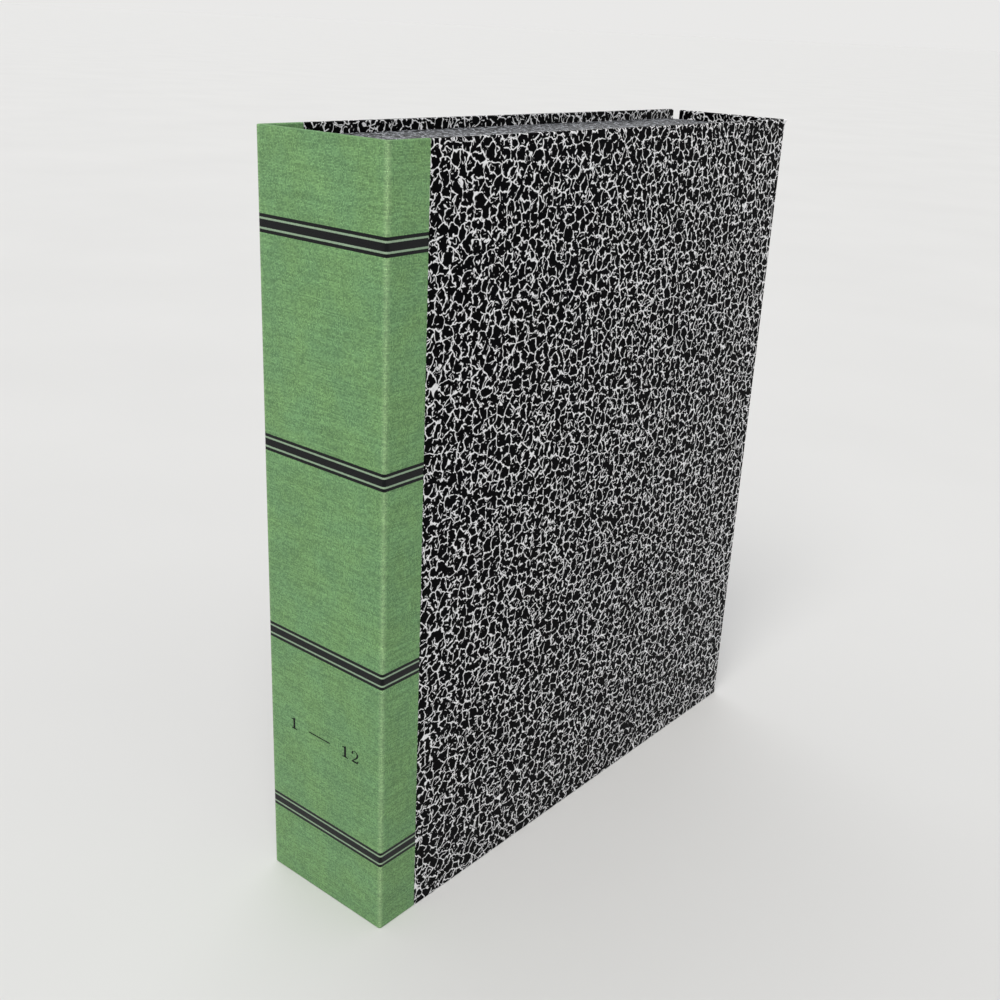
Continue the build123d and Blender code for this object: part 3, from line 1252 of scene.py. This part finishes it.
@dataclass
class Bellows:
    """The folded gussets of the twelve pockets.

    Args:
        sizes: The file's planes.
        flange: Width of the strip pasted to each leaf.
        depth: How far the fold reaches into the pocket.
        paper: Thickness of the folded paper.
    """

    sizes: FileSizes
    flange: float = 2.5 * MM
    depth: float = 11.0 * MM
    paper: float = 0.10 * MM

    def build(self) -> list[Piece]:
        """Models one gusset and copies it into each pocket.

        Returns:
            The gussets, from pocket 1 at the front cover to the last at the back.
        """
        first_low, first_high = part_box("gusset_01")
        model = self.build_one(first_low, first_high)
        pieces = []
        for number in range(1, self.sizes.pockets + 1):
            Bench.clear()
            copy = model.copy()
            copy.data = model.data.copy()
            bpy.context.collection.objects.link(copy)
            copy.name = copy.data.name = f"pocket_gusset_{number:02d}"
            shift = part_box(f"gusset_{number:02d}")[0].x - first_low.x
            copy.data.transform(Matrix.Translation((shift, 0, 0)))
            pieces.append(copy)
        bpy.data.objects.remove(model)
        return pieces

    def build_one(self, low: Vector, high: Vector) -> Piece:
        """Models the gusset between two leaves by two insets, a mirror and a wall.

        Args:
            low: Lowest corner of its CAD node.
            high: Highest corner.

        Returns:
            The gusset.
        """
        Bench.clear()
        middle = (low.x + high.x) / 2
        reach = high.y + 3 * self.depth
        sheet = Bench.block("gusset", (low.x, low.y, low.z), (middle, reach, high.z))
        Bench.pick(sheet, Select.FACES, lambda face: face.normal.x > -SQUARE_ON)
        bpy.ops.mesh.delete(type="FACE")
        Bench.pick(sheet, Select.FACES, lambda face: True)
        bpy.ops.mesh.inset(thickness=self.flange, depth=0.0, use_boundary=True)
        bpy.ops.mesh.inset(thickness=self.depth - self.flange, depth=low.x - middle, use_boundary=True)
        bpy.ops.mesh.delete(type="FACE")
        Bench.cut(sheet, (0, high.y, 0), (0, 1, 0), clear=True)
        Bench.take(sheet)
        mirror = sheet.modifiers.new("other_leaf", "MIRROR")
        centre = Bench.add("fold_line", None)
        centre.location = (middle, 0, 0)
        bpy.context.view_layer.update()
        mirror.mirror_object = centre
        mirror.merge_threshold = SAME_PLACE
        wall = sheet.modifiers.new("paper", "SOLIDIFY")
        wall.thickness = self.paper
        wall.offset = 0.0
        Bench.apply(sheet)
        bpy.data.objects.remove(centre)
        return Bench.finish(sheet, 25.0)

    def dress(self, pieces: list[Piece], finishes: Wardrobe) -> None:
        """Dresses the gussets, hides the CAD nodes that they replace and bakes each one's place into its
        mesh.
        """
        for number, piece in enumerate(pieces, start=1):
            dress(piece, finishes.gusset)
            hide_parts(f"gusset_{number:02d}")
            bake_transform(piece)


# Numbers


GLYPHS: dict[str, Outline] = {
    "1": [
        (0.06, 0.0, False), (0.56, 0.0, False), (0.56, 0.085, False), (0.44, 0.1, True),
        (0.4, 0.16, False), (0.4, 1.0, False), (0.35, 1.0, False), (0.22, 0.92, True),
        (0.05, 0.87, False), (0.05, 0.79, False), (0.17, 0.81, True), (0.22, 0.77, False),
        (0.22, 0.16, False), (0.18, 0.1, True), (0.06, 0.085, False),
    ],
    "2": [
        (0.04, 0.0, False), (0.6, 0.0, False), (0.66, 0.28, False), (0.6, 0.28, False),
        (0.56, 0.18, True), (0.49, 0.15, False), (0.22, 0.15, False), (0.36, 0.27, True),
        (0.51, 0.41, True), (0.61, 0.56, True), (0.635, 0.72, True), (0.58, 0.88, True),
        (0.46, 0.975, True), (0.31, 1.0, True), (0.16, 0.97, True), (0.07, 0.88, True),
        (0.045, 0.77, True), (0.08, 0.7, True), (0.14, 0.685, True), (0.19, 0.72, True),
        (0.2, 0.79, True), (0.175, 0.86, True), (0.21, 0.93, True), (0.3, 0.955, True),
        (0.4, 0.93, True), (0.475, 0.85, True), (0.495, 0.72, True), (0.46, 0.56, True),
        (0.37, 0.41, True), (0.24, 0.27, True), (0.04, 0.06, False),
    ],
    "-": [
        (0.02, 0.42, False), (1.98, 0.42, False), (1.98, 0.52, False), (0.02, 0.52, False),
    ],
}


@dataclass
class SpineNumbers:
    """The plain numbers of the pockets, printed low on the spine.

    Args:
        sizes: The file's planes.
        text: What is printed.
        height: Height of a figure.
        spacing: Space between the figures, as a share of their height.
        breadth: How much broader than drawn the figures are.
        middle: Height of the line's middle above the base.
        relief: How far the ink stands on the cloth.
        widths: Width of each mark, as a share of a figure's height.
    """

    sizes: FileSizes
    text: str = "1 - 12"
    height: float = 5.4 * MM
    spacing: float = 0.30
    breadth: float = 1.2
    middle: float = 77.6 * MM
    relief: float = 0.05 * MM
    widths: dict[str, float] = field(
        default_factory=lambda: {"1": 0.72, "2": 0.84, "-": 2.40, " ": 0.70}
    )

    def build(self) -> Piece:
        """Draws the figures' outlines and fills them, as one mesh."""
        Bench.clear()
        curve = bpy.data.curves.new("spine_numbers", "CURVE")
        curve.dimensions = "2D"
        curve.fill_mode = "BOTH"
        curve.resolution_u = 6
        total = sum(self.widths[mark] + self.spacing for mark in self.text) - self.spacing
        cursor = -total / 2
        for mark in self.text:
            if mark in GLYPHS:
                self.outline(curve, GLYPHS[mark], cursor)
            cursor += self.widths[mark] + self.spacing
        curve.extrude = self.relief / 2
        numbers = Bench.to_mesh(Bench.add("spine_numbers", curve))
        numbers.data.transform(Matrix((
            (1, 0, 0, 0), (0, 0, -1, self.sizes.y_spine), (0, 1, 0, self.middle), (0, 0, 0, 1)
        )))
        Bench.merge(numbers, TYPE_MERGE)
        return numbers

    def outline(self, curve: bpy.types.Curve, points: Outline, cursor: float) -> None:
        """Adds one closed outline to the curve."""
        spline = curve.splines.new("BEZIER")
        spline.use_cyclic_u = True
        spline.bezier_points.add(len(points) - 1)
        for target, (x, y, smooth) in zip(spline.bezier_points, points):
            target.co = ((cursor + x * self.breadth) * self.height, (y - 0.5) * self.height, 0.0)
            target.handle_left_type = target.handle_right_type = "AUTO" if smooth else "VECTOR"

    def dress(self, numbers: Piece, finishes: Wardrobe) -> None:
        """Dresses the figures and puts them on the spine."""
        dress(numbers, finishes.ink)
        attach(numbers, Body.CASE.value)


@dataclass
class LabelNumbers:
    """The number on each leaf's label.

    Args:
        count: How many labels there are.
        height: Height of a figure.
        relief: How far the ink stands on the paper.
        cap_share: A figure's height as a share of the type's size.
    """

    count: int
    height: float = 4.2 * MM
    relief: float = 0.03 * MM
    cap_share: float = 0.72

    def build(self) -> list[Piece]:
        """Sets each number in type on its label."""
        return [self.build_one(number) for number in range(1, self.count + 1)]

    def build_one(self, number: int) -> Piece:
        """Sets one number: the type's right is down the fore-edge and its top points out of the pocket."""
        Bench.clear()
        low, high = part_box(f"index_label_{number:02d}")
        bpy.ops.object.text_add()
        figure = bpy.context.object
        figure.data.body = str(number)
        figure.data.size = self.height / self.cap_share
        figure.data.align_x = figure.data.align_y = "CENTER"
        figure.data.extrude = self.relief / 2
        figure.data.resolution_u = 3
        figure = Bench.to_mesh(figure)
        figure.name = figure.data.name = f"label_number_{number:02d}"
        middle = (low + high) / 2
        figure.data.transform(Matrix((
            (0, 0, 1, high.x), (0, 1, 0, middle.y), (-1, 0, 0, middle.z), (0, 0, 0, 1)
        )))
        Bench.pick(figure, Select.VERTS, lambda vert: True)
        bpy.ops.mesh.remove_doubles(threshold=TYPE_MERGE)
        Bench.clear()
        return figure

    def dress(self, figures: list[Piece], finishes: Wardrobe) -> None:
        """Dresses the numbers and puts each on its leaf."""
        for number, figure in enumerate(figures, start=1):
            leaf = self.count - number
            body = f"divider_leaf_{leaf:02d}" if leaf else Body.CASE.value
            dress(figure, finishes.ink)
            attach(figure, body)


# The CAD pieces that show as they are


@dataclass
class CarriedPieces:
    """The boards, the leaves and the labels, whose CAD shapes are right.

    Args:
        finishes: The file's finishes.
    """

    finishes: Wardrobe

    def dress(self) -> None:
        """Gives each of these nodes its finish."""
        by_start = {
            "index_label": (self.finishes.label, Slot.LABEL),
            "divider": (self.finishes.card, Slot.CARD),
            "bellows": (self.finishes.card, Slot.CARD),
        }
        for name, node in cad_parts.items():
            if node.hide_render:
                continue
            material, slot = next(
                (finish for start, finish in by_start.items() if name.startswith(start)),
                (self.finishes.board, Slot.BOARD),
            )
            dress(node, material)


# Room, light and camera


@dataclass(frozen=True)
class Lamp:
    """A far soft lamp.

    Args:
        name: Its name.
        toward: Direction from the file to the lamp.
        strength: Its strength.
        spread: How wide it looks, in degrees.
        color: Its colour.
    """

    name: str
    toward: tuple[float, float, float]
    strength: float
    spread: float
    color: Color

    def build(self) -> None:
        """Adds the lamp to the scene."""
        lamp = bpy.data.lights.new(self.name, "SUN")
        lamp.energy = self.strength
        lamp.angle = math.radians(self.spread)
        lamp.color = self.color
        holder = Bench.add(self.name, lamp)
        holder.rotation_euler = (-Vector(self.toward)).to_track_quat("-Z", "Y").to_euler()
        holder.location = self.toward


@dataclass
class Studio:
    """A plain pale floor, soft light and the photograph's viewpoint.

    Args:
        floor_side: Side of the floor, in metres.
        floor_color: Colour of the floor.
        lamps: The lamps.
        room_light: Strength of the even light.
        room_color: Its colour.
        backdrop: Brightness of the backdrop behind the floor.
        backdrop_color: Its colour.
        camera_place: Where the camera stands, in metres.
        yaw: Which way it looks, in degrees from +Y towards +X.
        pitch: How far it looks up.
        roll: How far it leans.
        focal_pixels: Its focal length, in pixels of the square picture.
        image_pixels: The picture's side.
        sensor: Its sensor's width, in millimetres.
        nearest: How near it sees, in metres.
    """

    floor_side: float = 400.0
    floor_color: Color = (0.72, 0.715, 0.705)
    lamps: tuple[Lamp, ...] = (
        Lamp("key", (0.30, -0.56, 0.82), 2.0, 38.0, (1.0, 0.99, 0.965)),
        Lamp("fill", (-0.62, 0.50, 0.60), 0.55, 60.0, (0.94, 0.97, 1.0)),
    )
    room_light: float = 0.50
    room_color: Color = (0.97, 0.98, 1.0)
    backdrop: float = 0.83
    backdrop_color: Color = (0.985, 0.98, 0.97)
    camera_place: tuple[float, float, float] = (0.32260, -0.42608, 0.35436)
    yaw: float = -39.086
    pitch: float = -21.318
    roll: float = 2.714
    focal_pixels: float = 1215.61
    image_pixels: float = 1000.0
    sensor: float = 36.0
    nearest: float = 0.01

    def floor(self) -> None:
        """Lays the floor under the file."""
        Bench.clear()
        bpy.ops.mesh.primitive_plane_add(size=self.floor_side, location=(0, 0, 0))
        plane = bpy.context.object
        plane.name = plane.data.name = "floor"
        recipe = Recipe("pale_floor", roughness=0.85, specular=0.2)
        tone = recipe.tone(recipe.noise(recipe.object_place(), 300.0, 3.0, flat=False), 0.985, 1.015)
        plane.data.materials.append(recipe.surface(recipe.tint(self.floor_color, tone)))

    def room(self) -> None:
        """Sets the even light of the room, and the pale backdrop that the camera and gloss see."""
        world = bpy.data.worlds.new("soft_room")
        bpy.context.scene.world = world
        world.use_nodes = True
        graph = Graph(world.node_tree)
        path = graph.node("ShaderNodeLightPath").outputs
        rays = ("Is Camera Ray", "Is Glossy Ray", "Is Transmission Ray")
        seen = graph.chain("MAXIMUM", *(path[ray] for ray in rays))
        sky = graph.tree.nodes["Background"]
        graph.feed(sky.inputs["Color"], graph.mix(seen, self.room_color, self.backdrop_color))
        graph.feed(sky.inputs["Strength"], graph.ramp(seen, 0.0, 1.0, self.room_light, self.backdrop))

    def camera(self) -> None:
        """Sets the camera that was fitted to the photograph's outline."""
        data = bpy.data.cameras.new("photo_view")
        data.sensor_width = self.sensor
        data.lens = self.focal_pixels / self.image_pixels * self.sensor
        data.clip_start = self.nearest
        holder = Bench.add("photo_view", data)
        yaw, pitch, roll = (math.radians(angle) for angle in (self.yaw, self.pitch, self.roll))
        forward = Vector((math.sin(yaw) * math.cos(pitch), math.cos(yaw) * math.cos(pitch), math.sin(pitch)))
        level = Vector((math.cos(yaw), -math.sin(yaw), 0.0))
        upward = level.cross(forward)
        right = math.cos(roll) * level + math.sin(roll) * upward
        top = -math.sin(roll) * level + math.cos(roll) * upward
        holder.matrix_world = Matrix.Translation(self.camera_place) @ Matrix(
            (right, top, -forward)
        ).transposed().to_4x4()
        bpy.context.scene.camera = holder

    def build(self) -> None:
        """Sets up the floor, the room, the lamps, the camera and the view transform."""
        self.floor()
        self.room()
        for lamp in self.lamps:
            lamp.build()
        self.camera()
        bpy.context.scene.view_settings.view_transform = "Standard"


def main() -> None:
    """Builds and dresses every piece of the file, then the studio."""
    logging.basicConfig(level=logging.INFO, format="%(name)s: %(message)s")
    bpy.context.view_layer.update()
    sizes = FileSizes.from_frame()
    finishes = Wardrobe(sizes)
    parts = [
        SpineWrap(sizes),
        BackPaper(sizes),
        CoverPaper(sizes),
        TrayWrap("tray_head_paper"),
        TrayWrap("tray_tail_paper"),
        Lining("back_lining", Body.CASE, (1, 0, 0)),
        Lining("spine_lining", Body.CASE, (0, 1, 0)),
        Lining("front_lining", Body.COVER, (-1, 0, 0)),
        Lining("flap_lining", Body.FLAP, (0, -1, 0)),
        Bellows(sizes),
        SpineNumbers(sizes),
        LabelNumbers(sizes.pockets),
    ]
    for part in parts:
        built = part.build()
        part.dress(built, finishes)
        for piece in built if isinstance(built, list) else [built]:
            log.info("%s: %d faces", piece.name, len(piece.data.polygons))
    CarriedPieces(finishes).dress()
    Studio().build()


if __name__ == "__main__":
    main()
